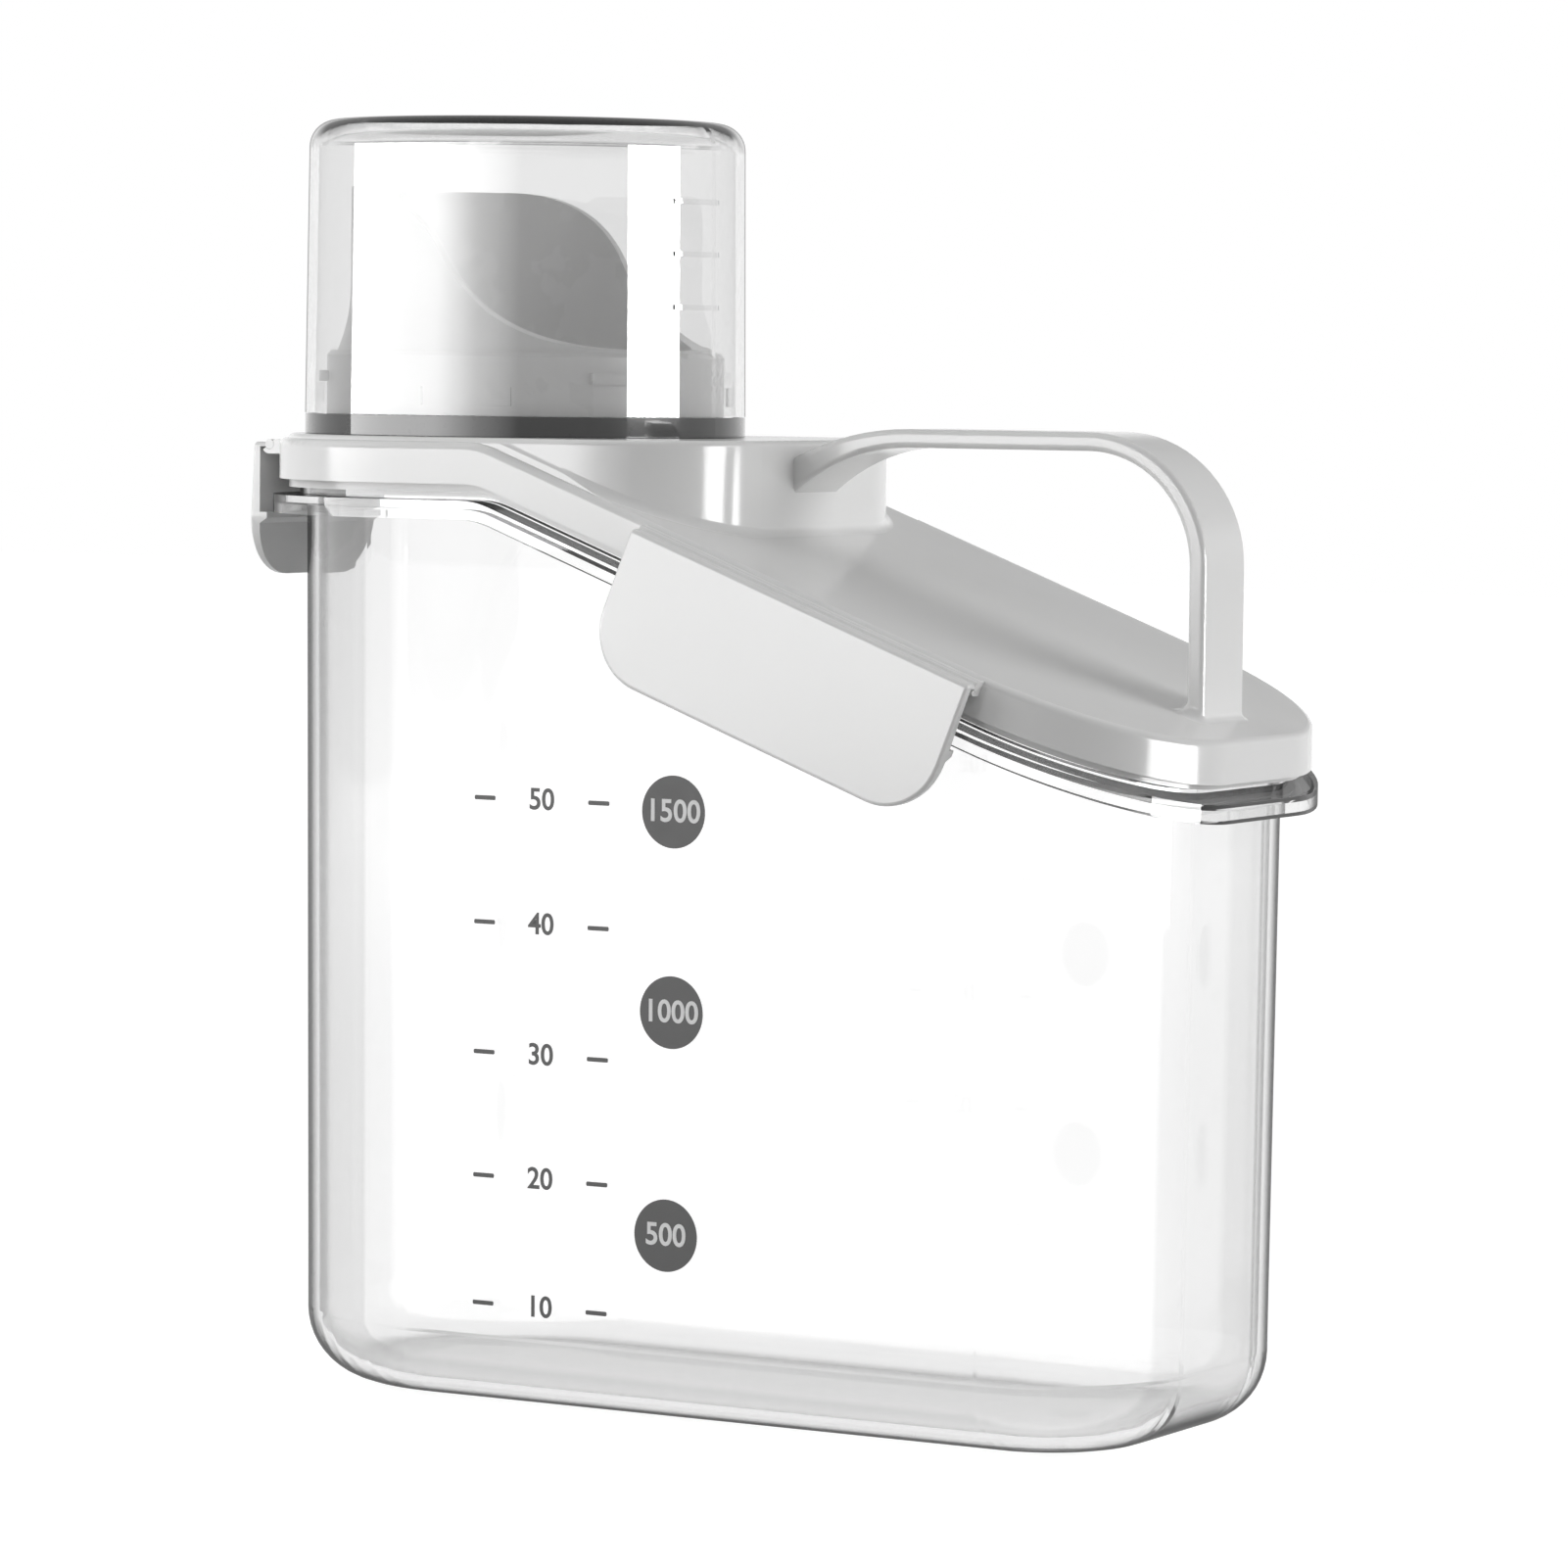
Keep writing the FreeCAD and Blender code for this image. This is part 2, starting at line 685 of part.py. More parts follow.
def lock_flap(name, length, drop, catch_top):
    """A flap: the hinge bead, a neck, a leaning plate with rounded corners and edges, and an inner catch."""
    body = new_body(name + "_section")
    sketch = new_sketch(body, "YZ_Plane", name + "_profile")
    half_neck = size("neck_thickness") / 2
    face = -FLAP_FACE
    outer = face - size("flap_thickness")
    flare = size("flap_flare")
    catch_low = catch_top - size("catch_thickness")
    tip = size("hinge_out") - size("flange_reach") - size("catch_clear")
    draw_loop(sketch, [
        (ZERO, half_neck), (ZERO, -half_neck), (face, -half_neck), (face, catch_top), (tip, catch_top),
        (tip, catch_low + size("catch_slope")), (face, catch_low - size("catch_slope")),
        (face - flare, -drop), (outer - flare, -drop),
        (outer, half_neck - size("flap_thickness") / 2), (outer + size("flap_thickness") / 2, half_neck),
    ], {9: (size("flap_thickness") / 2, -1)})
    pad(body, sketch, length, True)
    bead = new_sketch(body, "YZ_Plane", name + "_bead")
    draw_circle(bead, size("bead_radius"))
    pad(body, bead, length, True)
    face_body = new_body(name + "_face")
    face_sketch = new_sketch(face_body, "XZ_Plane", name + "_outline")
    half = length / 2
    corner = size("flap_corner")
    draw_loop(face_sketch, [
        (-half, size("flap_corner")), (-half, corner - drop), (corner - half, -drop),
        (half - corner, -drop), (half, corner - drop), (half, size("flap_corner")),
    ], {1: (corner, 1), 3: (corner, 1)})
    pad(face_body, face_sketch, (flare - outer + size("overrun")) * 2, True)
    block = common(name + "_block", body, face_body)
    DOCUMENT.recompute()
    rounded = DOCUMENT.addObject("Part::Fillet", name)
    rounded.Base = block
    radius = size("flap_round").value
    rounded.Edges = [(index, radius, radius) for index in outer_edges(block.Shape, outer.value, half_neck.value)]
    return rounded


catch_vertical = size("skirt_height") + size("flange_gap") + size("flange_drop")
front_catch = size("hinge_drop") - catch_vertical * cosine(size("rim_angle")) - size("catch_gap")
end_catch = size("hinge_drop") - catch_vertical - size("catch_gap")
front_place = size("front_flap_place")
front_x = front_place - size("hinge_drop") * sine(size("rim_angle"))
front_y = -(LID_SIDE + size("hinge_out"))
front_z = deck_height(front_place) - size("hinge_drop") * cosine(size("rim_angle"))
end_x = -(LID_END + size("hinge_out"))
end_z = DECK_TOP - size("hinge_drop")

ACROSS = FreeCAD.Vector(0, 1, 0)
UP = FreeCAD.Vector(0, 0, 1)
QUARTER_TURN = Size(-90.0, "-90")
front_rail = hinge_rail("front_rail", size("front_flap_length"), size("rail_sink"))
place(front_rail, front_x, front_y, front_z, ACROSS, size("rim_angle"))
front_flap = lock_flap("front_flap", size("front_flap_length"), size("front_flap_drop"), front_catch)
place(front_flap, front_x, front_y, front_z, ACROSS, size("rim_angle"))
end_rail = hinge_rail("end_rail", size("end_flap_length"), size("end_rail_sink"))
place(end_rail, end_x, ZERO, end_z, UP, QUARTER_TURN)
end_flap = lock_flap("end_flap", size("end_flap_length"), size("end_flap_drop"), end_catch)
place(end_flap, end_x, ZERO, end_z, UP, QUARTER_TURN)


def mirrored(name, source):
    """The same piece on the other side of the lid's middle plane."""
    twin = DOCUMENT.addObject("Part::Mirroring", name)
    twin.Source = source
    twin.Normal = ACROSS
    return twin


rear_rail = mirrored("rear_rail", front_rail)
rear_flap = mirrored("rear_flap", front_flap)

# Lid cover: shell, rings, handle and rails in one moulding, with the hole for the spout

CUP_X = size("cup_from_left") - LID_END
lid_full = fuse("lid_full", lid_shell, ledge_trim, plug, handle, front_rail, rear_rail, end_rail)
spout_hole = DOCUMENT.addObject("Part::Cylinder", "spout_hole")
spout_outer = size("spout_bore_radius") + size("spout_wall")
spout_hole.setExpression("Radius", (spout_outer + size("spout_fit")).text)
spout_hole.setExpression("Height", (PLATFORM_TOP + size("overrun")).text)
place(spout_hole, CUP_X)
lid_cover = cut("lid_cover", lid_full, spout_hole)

# Gasket: a silicone ring in the channel above the tank's rim

gasket_outer = ledge_inner + size("gasket_slack")
gasket_inner = plug_outer - size("gasket_slack")
lid_gasket = common("lid_gasket", plan_prism("gasket_ring", gasket_outer, gasket_inner),
                    rim_slab("gasket_slab", UPSTAND_TOP + size("gasket_lift"), DECK_UNDER))

# Pour spout: a tube with a sweeping lip, and a collar with three bayonet lugs

spout_tube = new_body("spout_tube")
spout_section = new_sketch(spout_tube, "XZ_Plane", "spout_section")
bore = size("spout_bore_radius")
collar = size("collar_radius")
flare_rise = size("spout_flare_rise")
flare_reach = size("spout_flare_reach")
flare_radius = (flare_rise * flare_rise + flare_reach * flare_reach) / (flare_reach * 2)
height = size("collar_height")
chamfer = size("collar_chamfer")
collar_inner = collar - size("spout_wall")
tube_end = size("spout_peak") + size("overrun")
draw_loop(spout_section, [
    (bore, -size("spout_sleeve")), (spout_outer, -size("spout_sleeve")),
    (spout_outer, height - size("spout_wall")), (collar_inner, height - size("spout_wall")),
    (collar_inner, ZERO), (collar, ZERO), (collar, height - chamfer), (collar - chamfer, height),
    (spout_outer + flare_reach, height), (spout_outer, height + flare_rise),
    (spout_outer, tube_end), (bore, tube_end),
], {8: (flare_radius, -1)})
spout_turn = spout_tube.newObject("PartDesign::Revolution", "spout_turn")
spout_turn.Profile = spout_section
spout_turn.ReferenceAxis = (spout_section, ["V_Axis"])
spout_turn.Angle = 360
DOCUMENT.recompute()
spout_sweep = new_sketch(spout_tube, "XZ_Plane", "spout_sweep")
far_out = collar + size("overrun")
peak_radius = size("spout_peak_radius")
low_radius = size("spout_low_radius")
sweep_drop = size("spout_peak") - size("spout_low")
# Two arcs join the high lip to the low rim: level at both ends and tangent where they meet
radii = peak_radius + low_radius
turn_cosine = ONE - sweep_drop / radii
turn_sine = root(ONE - turn_cosine * turn_cosine)
meet_x = peak_radius * turn_sine - size("spout_peak_run")
meet_z = size("spout_peak") - peak_radius * (ONE - turn_cosine)
draw_loop(spout_sweep, [
    (-far_out, size("spout_peak")), (-size("spout_peak_run"), size("spout_peak")), (meet_x, meet_z),
    (radii * turn_sine - size("spout_peak_run"), size("spout_low")), (far_out, size("spout_low")),
    (far_out, tube_end + size("overrun")), (-far_out, tube_end + size("overrun")),
], {1: (peak_radius, -1), 2: (low_radius, 1)})
spout_cut = spout_tube.newObject("PartDesign::Pocket", "spout_cut")
spout_cut.Profile = spout_sweep
spout_cut.Midplane = True
spout_cut.setExpression("Length", (far_out * 2).text)


def ring_lugs(name, inner, outer, low, high, angle):
    """Three equal ring segments about the Z axis."""
    body = new_body(name)
    sketch = new_sketch(body, "XZ_Plane", name + "_section")
    draw_loop(sketch, [(inner, low), (outer, low), (outer, high), (inner, high)])
    turn = body.newObject("PartDesign::Revolution", name + "_turn")
    turn.Profile = sketch
    turn.ReferenceAxis = (sketch, ["V_Axis"])
    turn.Midplane = True
    turn.setExpression("Angle", angle.text)
    DOCUMENT.recompute()
    pattern = body.newObject("PartDesign::PolarPattern", name + "_pattern")
    pattern.Originals = [turn]
    pattern.Axis = (sketch, ["V_Axis"])
    pattern.Angle = 360
    pattern.Occurrences = 3
    body.Tip = pattern
    return body


bayonet_low = size("bayonet_under")
spout_lugs = ring_lugs("spout_lugs", collar - size("spout_wall") / 2, collar + size("bayonet_reach"),
                       bayonet_low, bayonet_low + size("bayonet_height"), size("bayonet_angle"))
place(spout_lugs, axis=UP, angle=size("bayonet_bearing"))
pour_spout = fuse("pour_spout", spout_tube, spout_lugs)
place(pour_spout, CUP_X, ZERO, PLATFORM_TOP)

# Cup seal: the dark ring that the cup's rim stands on

cup_seal = new_body("cup_seal")
seal_plan = new_sketch(cup_seal, "XY_Plane", "seal_plan")
draw_circle(seal_plan, size("cup_radius"))
draw_circle(seal_plan, collar + size("seal_slack"))
pad(cup_seal, seal_plan, size("seal_height"))
seal_z = PLATFORM_TOP + size("seat_gap")
place(cup_seal, CUP_X, ZERO, seal_z)

# Measuring cup, standing upside down over the spout

cup_shell = new_body("cup_shell")
cup_section = new_sketch(cup_shell, "XZ_Plane", "cup_section")
rim_radius = size("cup_radius")
end_radius = rim_radius - size("cup_taper")
corner = size("cup_corner")
inner_corner = corner - size("cup_wall")
cup_high = size("cup_height")
cup_roof = cup_high - size("cup_top")
inner_end = end_radius - size("cup_wall")
draw_loop(cup_section, [
    (rim_radius - size("cup_wall"), ZERO), (rim_radius, ZERO), (end_radius, cup_high - corner),
    (end_radius - corner, cup_high), (ZERO, cup_high), (ZERO, cup_roof),
    (inner_end - inner_corner, cup_roof), (inner_end, cup_roof - inner_corner),
], {2: (corner, 1), 6: (inner_corner, -1)})
cup_turn = cup_shell.newObject("PartDesign::Revolution", "cup_turn")
cup_turn.Profile = cup_section
cup_turn.ReferenceAxis = (cup_section, ["V_Axis"])
cup_turn.Angle = 360
cup_lugs = ring_lugs("cup_lugs", rim_radius - size("cup_wall") - size("cup_lug_reach"),
                     rim_radius - size("cup_wall") / 2, size("cup_lug_lift"),
                     size("cup_lug_lift") + size("cup_lug_height"), size("cup_lug_angle"))
place(cup_lugs, axis=UP, angle=size("cup_lug_bearing"))
measuring_cup = fuse("measuring_cup", cup_shell, cup_lugs)
place(measuring_cup, CUP_X, ZERO, seal_z + size("seal_height") + size("seat_gap"))

DOCUMENT.recompute()

# Check every object, then write one file for each piece

NODES = [
    container_body, lid_cover, lid_gasket, pour_spout, cup_seal, measuring_cup,
    front_flap, rear_flap, end_flap,
]
for thing in DOCUMENT.Objects:
    if "Invalid" in thing.State or "Error" in thing.State:
        raise RuntimeError("%s did not build: %s" % (thing.Name, thing.State))
for node in NODES:
    if node.Shape.isNull() or not node.Shape.isValid():
        raise RuntimeError("%s has no valid shape" % node.Name)
os.makedirs("parts", exist_ok=True)
for node in NODES:
    node.Label = node.Name
    node.Shape.exportStep("parts/%s.step" % node.Label)
    box = node.Shape.BoundBox
    print("%-16s solids %d volume %9.1f  x %7.2f %7.2f  y %7.2f %7.2f  z %7.2f %7.2f" % (
        node.Label, len(node.Shape.Solids), node.Shape.Volume,
        box.XMin, box.XMax, box.YMin, box.YMax, box.ZMin, box.ZMax))
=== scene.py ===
# %% [markdown]
# # A cereal container with a pour spout and a measuring cup
#
# The real container is a clear moulded tank. A white lid with a carrying handle is held
# down by three lock flaps, and a clear measuring cup stands upside down over the spout.
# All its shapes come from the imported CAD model, which is loaded here as a fixed frame.
# This lesson adds what a solid can't carry: the finish of each plastic, the printed
# scale on the tank, the raised marks on the cup, the light and the camera.

# %% Load the frame
import math

import bpy
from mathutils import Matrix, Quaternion, Vector


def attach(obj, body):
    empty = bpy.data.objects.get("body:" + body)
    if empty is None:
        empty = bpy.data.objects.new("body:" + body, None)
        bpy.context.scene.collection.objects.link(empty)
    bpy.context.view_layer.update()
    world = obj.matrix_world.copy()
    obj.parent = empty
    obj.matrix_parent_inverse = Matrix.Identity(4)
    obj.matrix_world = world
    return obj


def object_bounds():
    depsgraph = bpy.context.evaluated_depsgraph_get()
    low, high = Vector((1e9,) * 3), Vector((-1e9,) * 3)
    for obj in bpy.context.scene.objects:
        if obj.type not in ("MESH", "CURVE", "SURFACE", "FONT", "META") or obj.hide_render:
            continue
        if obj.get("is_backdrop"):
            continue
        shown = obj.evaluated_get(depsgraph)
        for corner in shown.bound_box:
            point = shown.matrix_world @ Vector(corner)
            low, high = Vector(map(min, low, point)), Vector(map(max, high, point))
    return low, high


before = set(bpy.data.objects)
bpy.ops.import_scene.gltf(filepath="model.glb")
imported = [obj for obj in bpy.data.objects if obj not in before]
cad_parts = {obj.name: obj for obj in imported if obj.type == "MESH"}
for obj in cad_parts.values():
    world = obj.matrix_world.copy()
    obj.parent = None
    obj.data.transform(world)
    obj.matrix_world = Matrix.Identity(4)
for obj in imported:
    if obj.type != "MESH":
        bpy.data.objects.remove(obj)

CAD_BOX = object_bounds()
MM = 0.001
print("CAD box", [round(side / MM, 1) for side in CAD_BOX[1] - CAD_BOX[0]], "mm")

# %% [markdown]
# ## The camera
#
# The photograph was taken with a long lens from a little above the lid, so upright edges
# stay nearly parallel. A camera could be placed by eye, but here its place, lens and
# slight roll were solved from corners that show in the photograph. The numbers are kept
# as a distance and three angles, because those are easier to check than a matrix.

# %% Camera
AIM = Vector((2.05, 0.0, 112.3)) * MM
AWAY = 1204.2 * MM
TURN, TILT, ROLL = math.radians(29.72), math.radians(3.67), math.radians(0.65)
SENSOR = 36.0
PICTURE_SIDE, FOCAL_PIXELS = 1601, 6773.84
NEAREST, FARTHEST = 0.01, 50.0

camera = bpy.data.objects.new("camera", bpy.data.cameras.new("camera"))
bpy.context.scene.collection.objects.link(camera)
level_way = Vector((math.sin(TURN), -math.cos(TURN), 0.0))
backwards = level_way * math.cos(TILT) + Vector((0.0, 0.0, math.sin(TILT)))
camera.location = AIM + backwards * AWAY
camera.rotation_mode = "QUATERNION"
upright = (-backwards).to_track_quat("-Z", "Y")
camera.rotation_quaternion = upright @ Quaternion((0, 0, 1), ROLL)
camera.data.sensor_width = SENSOR
camera.data.lens = SENSOR * FOCAL_PIXELS / PICTURE_SIDE
camera.data.clip_start, camera.data.clip_end = NEAREST, FARTHEST
bpy.context.scene.camera = camera
print("lens", round(camera.data.lens, 1), "mm from", round(AWAY, 2), "m")

# %% [markdown]
# ## Writing shader maths as sums
#
# A finish is a small graph of nodes. Linking them one by one is long to read, so a Wire
# stands for one output and takes part in Python sums, each of which adds a Math node.

# %% Wires
class Wire:
    """One output of a node, which can stand in a sum as a number does."""

    def __init__(self, recipe, socket):
        self.recipe = recipe
        self.socket = socket

    def maths(self, operation, first, second):
        """Adds a Math node for one step of a sum."""
        return self.recipe.node("ShaderNodeMath", {"operation": operation}, {0: first, 1: second})

    def __add__(self, other):
        return self.maths("ADD", self, other)

    def __radd__(self, other):
        return self.maths("ADD", other, self)

    def __sub__(self, other):
        return self.maths("SUBTRACT", self, other)

    def __rsub__(self, other):
        return self.maths("SUBTRACT", other, self)

    def __mul__(self, other):
        return self.maths("MULTIPLY", self, other)

    def __rmul__(self, other):
        return self.maths("MULTIPLY", other, self)

    def __lt__(self, other):
        return self.maths("LESS_THAN", self, other)

    def __gt__(self, other):
        return self.maths("GREATER_THAN", self, other)


print("wires ready")

# %% [markdown]
# Every other node comes from one method, which takes its type, its settings and then its
# sockets. Three short methods stand for the small groups of nodes that come up again and
# again: soft noise, one part of a vector, and a smooth step from 0 up.

# %% Recipes
def grey(value):
    """A neutral colour of one strength."""
    return (value, value, value, 1.0)


def set_stops(ramp, stops):
    """Gives a colour ramp its stops, each a place and the strength of a grey."""
    while len(ramp) < len(stops):
        ramp.new(0.5)
    for stop, (place, strength) in zip(ramp, stops):
        stop.position = place
        stop.color = grey(strength)


class Recipe:
    """A node tree, with one method that adds any node to it."""

    def __init__(self, owner):
        owner.use_nodes = True
        self.owner = owner
        self.tree = owner.node_tree
        self.tree.nodes.clear()

    def node(self, kind, settings=None, sockets=None, output=0):
        made = self.tree.nodes.new(kind)
        for name, value in (settings or {}).items():
            if name == "stops":
                set_stops(made.color_ramp.elements, value)
            else:
                setattr(made, name, value)
        for name, value in (sockets or {}).items():
            if isinstance(value, Wire):
                self.tree.links.new(value.socket, made.inputs[name])
            else:
                made.inputs[name].default_value = value
        return Wire(self, made.outputs[output]) if len(made.outputs) else None

    def noise(self, size, detail=2.0):
        """Soft random values from 0 to 1, with spots of about this size in metres."""
        place = self.node("ShaderNodeTexCoord", output="Object")
        sockets = {"Vector": place, "Scale": 1.0 / size, "Detail": detail}
        return self.node("ShaderNodeTexNoise", None, sockets)

    def part(self, vector, axis):
        """One part of a vector: X, Y or Z."""
        return self.node("ShaderNodeSeparateXYZ", None, {0: vector}, output=axis)

    def step(self, value, begins, ends, top=1.0):
        """Climbs smoothly from 0 to top while the value goes from begins to ends."""
        sockets = {"Value": value, "From Min": begins, "From Max": ends, "To Max": top}
        return self.node("ShaderNodeMapRange", {"interpolation_type": "SMOOTHSTEP"}, sockets)


print("recipes ready")

# %% [markdown]
# ## White moulded plastic
#
# The lid, the flaps and the spout are injection-moulded in a neutral white. A polished
# mould leaves a soft gloss that isn't quite even: the sheen drifts over a few
# centimetres, and a very fine grain breaks up sharp reflections. A flat white would look
# like paper, so the recipe lets colour, roughness and a shallow bump each follow noise
# of its own size.

# %% White plastics
DRIFT_SIZE, SHEEN_SIZE, GRAIN_SIZE = 45 * MM, 7 * MM, 0.5 * MM
GRAIN_DEPTH = 0.05 * MM
SHEEN_SPREAD = 0.05
WARM_TINT = (0.985, 0.985, 0.975)
WHITE_IOR = 1.5


def white_plastic(name, white, roughness, grain):
    """A glossy white of uneven sheen; grain is the strength of its fine bump."""
    recipe = Recipe(bpy.data.materials.new(name))
    drift = recipe.noise(DRIFT_SIZE)
    sheen = recipe.noise(SHEEN_SIZE, 3.0)
    fine = recipe.noise(GRAIN_SIZE)
    warmer = (*[white * tint for tint in WARM_TINT], 1.0)
    colour = recipe.node(
        "ShaderNodeMix",
        {"data_type": "RGBA"},
        {"Factor": drift, "A": warmer, "B": grey(white)},
        output="Result",
    )
    bump = recipe.node(
        "ShaderNodeBump", None, {"Strength": grain, "Distance": GRAIN_DEPTH, "Height": fine}
    )
    smoothest = roughness - SHEEN_SPREAD
    skin = recipe.node(
        "ShaderNodeBsdfPrincipled",
        None,
        {
            "Base Color": colour,
            "Roughness": sheen * SHEEN_SPREAD + drift * SHEEN_SPREAD + smoothest,
            "IOR": WHITE_IOR,
            "Normal": bump,
        },
    )
    recipe.node("ShaderNodeOutputMaterial", None, {"Surface": skin})
    return recipe.owner


lid_white = white_plastic("lid_white", white=0.80, roughness=0.15, grain=0.015)
flap_white = white_plastic("flap_white", white=0.80, roughness=0.17, grain=0.015)
# The spout is the lid's white plastic set darker: painted shade for its place under the cup.
spout_shaded_white = white_plastic("spout_shaded_white", white=0.60, roughness=0.28, grain=0.02)
print("white plastics:", lid_white.name, flap_white.name, spout_shaded_white.name)

# %% [markdown]
# ## Clear plastic
#
# The tank and the cup are clear styrene plastic. Seen face on, such a wall hardly shows.
# Seen along the wall, at the sides and round the foot, light crosses far more of it and
# the edge turns grey. A thin CAD wall already bends light, and Layer Weight paints the grey
# into the base colour where the surface turns away, from whichever side it is looked at:
# partly the longer path through the wall, and partly painted shade, since the world seen
# through the walls is white all round. The tank's two long walls are flat, and a flat wall
# stays clear even when it is seen at a slant, so a measure of the normal holds the grey
# back there.

# %% Turning away
FLAT_FROM, FLAT_TO = 0.93, 0.985


def turning_away(recipe, normal, flat_relief):
    """0 face on and 1 at the outline, held back by flat_relief on the long flat walls."""
    sideways = recipe.part(normal, "Y")
    flat = recipe.step(sideways * sideways, FLAT_FROM, FLAT_TO, flat_relief)
    facing = recipe.node("ShaderNodeLayerWeight", None, {"Blend": 0.5}, output="Facing")
    return facing * (1.0 - flat)


print("long walls count as flat from", FLAT_FROM, "to", FLAT_TO)

# %% [markdown]
# At the very outline a first Mix Shader turns the wall to a dark diffuse line, as painted
# shade. The upper face of the tank's floor is left out of that, or the whole floor would
# be dark. Lamps would throw a solid shadow through such a wall, so a second Mix Shader
# lets shadow rays through, and what stands inside is lit.

# %% Clear plastics
RIPPLE_SIZE, SMEAR_SIZE = 30 * MM, 4 * MM
RIPPLE_STRENGTH, RIPPLE_DEPTH = 0.05, 0.2 * MM
RIPPLE_HAZE = 0.01
CLEAR_IOR = 1.49
COAT_ROUGHNESS = 0.03
FLOOR_LEVEL, FLOOR_TILT = 14 * MM, 0.3
PAINTED_OUTLINE_GREY = 0.05


def clear_plastic(name, edge_stops, haze, shade, outline, coat=0.0, flat_relief=0.0):
    """A clear wall; edge_stops give its grey, partly painted shade, by how far it turns away from
    the eye.
    """
    recipe = Recipe(bpy.data.materials.new(name))
    ripple = recipe.noise(RIPPLE_SIZE)
    smear = recipe.noise(SMEAR_SIZE, 3.0)
    normal = recipe.node("ShaderNodeNewGeometry", output="Normal")
    turned = turning_away(recipe, normal, flat_relief)
    bump = recipe.node(
        "ShaderNodeBump",
        None,
        {"Strength": RIPPLE_STRENGTH, "Distance": RIPPLE_DEPTH, "Height": ripple},
    )
    # The base colour greys where the wall turns away: partly the longer path, partly painted shade.
    wall = recipe.node(
        "ShaderNodeBsdfPrincipled",
        None,
        {
            "Base Color": recipe.node("ShaderNodeValToRGB", {"stops": edge_stops}, {"Fac": turned}),
            "Roughness": smear * haze + ripple * RIPPLE_HAZE,
            "IOR": CLEAR_IOR,
            "Transmission Weight": 1.0,
            "Coat Weight": coat,
            "Coat Roughness": COAT_ROUGHNESS,
            "Normal": bump,
        },
    )
    place = recipe.node("ShaderNodeTexCoord", output="Object")
    upward, level = recipe.part(normal, "Z"), recipe.part(place, "Z")
    tank_floor = (upward > FLOOR_TILT) * (level < FLOOR_LEVEL)
    # Painted shade: a dark diffuse line wherever the wall turns far away from the eye.
    line = recipe.step(turned, *outline) * (1.0 - tank_floor)
    dark = recipe.node("ShaderNodeBsdfDiffuse", None, {"Color": grey(PAINTED_OUTLINE_GREY)})
    painted_outline_mix = recipe.node("ShaderNodeMixShader", None, {0: line, 1: wall, 2: dark})
    open_air = recipe.node("ShaderNodeBsdfTransparent", None, {"Color": grey(shade)})
    shadow = recipe.node("ShaderNodeLightPath", output="Is Shadow Ray")
    mixed = recipe.node("ShaderNodeMixShader", None, {0: shadow, 1: painted_outline_mix, 2: open_air})
    recipe.node("ShaderNodeOutputMaterial", None, {"Surface": mixed})
    return recipe.owner


print("clear walls bend light by", CLEAR_IOR)

# %% [markdown]
# The tank's wall is thick and its corners are plainly grey, partly as painted shade. The cup
# is thinner and cleaner, with a polished skin that catches the lamps. An outline is where the
# painted dark line begins, where it is full, and how dark it gets.

# %% Tank and cup
TANK_EDGE = [(0.0, 0.99), (0.26, 0.98), (0.31, 0.74), (0.62, 0.64), (0.80, 0.26), (1.0, 0.02)]
CUP_EDGE = [(0.0, 0.89), (0.45, 0.85), (0.70, 0.76), (0.86, 0.56), (1.0, 0.15)]
TANK_PAINTED_OUTLINE = (0.66, 0.86, 0.75)
CUP_PAINTED_OUTLINE = (0.86, 0.97, 0.75)
HAZE = 0.02

tank_clear = clear_plastic(
    "tank_clear", TANK_EDGE, HAZE, shade=0.96, outline=TANK_PAINTED_OUTLINE, flat_relief=0.5
)
cup_clear = clear_plastic("cup_clear", CUP_EDGE, HAZE, shade=0.54, outline=CUP_PAINTED_OUTLINE, coat=1.0)
print("clear plastics:", tank_clear.name, cup_clear.name)

# %% [markdown]
# ## Silicone and ink
#
# The ring under the cup is dark silicone with a wet-looking skin, and the gasket in the
# lid is a pale, dull one. Both pick up a little dust, so their roughness has wider drift.
# The scale on the tank is one dark grey ink, pad-printed, with tiny breaks in its colour,
# and the numbers on the badges are a white ink of the same kind.

# %% Silicone and ink
DUST_SIZE, PORE_SIZE = 3 * MM, 0.4 * MM
PORE_DEPTH = 0.05 * MM
DUST_SPREAD, DUST_CONTRAST = 0.2, 0.08


def soft_rubber(name, shade, roughness, coat=0.0, gloss=0.5, grain=0.15):
    """A dusty, softly glossy skin; coat adds a wet-looking layer over it."""
    recipe = Recipe(bpy.data.materials.new(name))
    dust = recipe.noise(DUST_SIZE, 4.0)
    fine = recipe.noise(PORE_SIZE)
    darker, paler = grey(shade * (1 - DUST_CONTRAST)), grey(shade * (1 + DUST_CONTRAST))
    colour = recipe.node(
        "ShaderNodeMix",
        {"data_type": "RGBA"},
        {"Factor": dust, "A": darker, "B": paler},
        output="Result",
    )
    bump = recipe.node(
        "ShaderNodeBump", None, {"Strength": grain, "Distance": PORE_DEPTH, "Height": fine}
    )
    skin = recipe.node(
        "ShaderNodeBsdfPrincipled",
        None,
        {
            "Base Color": colour,
            "Roughness": dust * DUST_SPREAD + (roughness - DUST_SPREAD / 2),
            "Specular IOR Level": gloss,
            "Coat Weight": coat,
            "Coat Roughness": COAT_ROUGHNESS,
            "Normal": bump,
        },
    )
    recipe.node("ShaderNodeOutputMaterial", None, {"Surface": skin})
    return recipe.owner


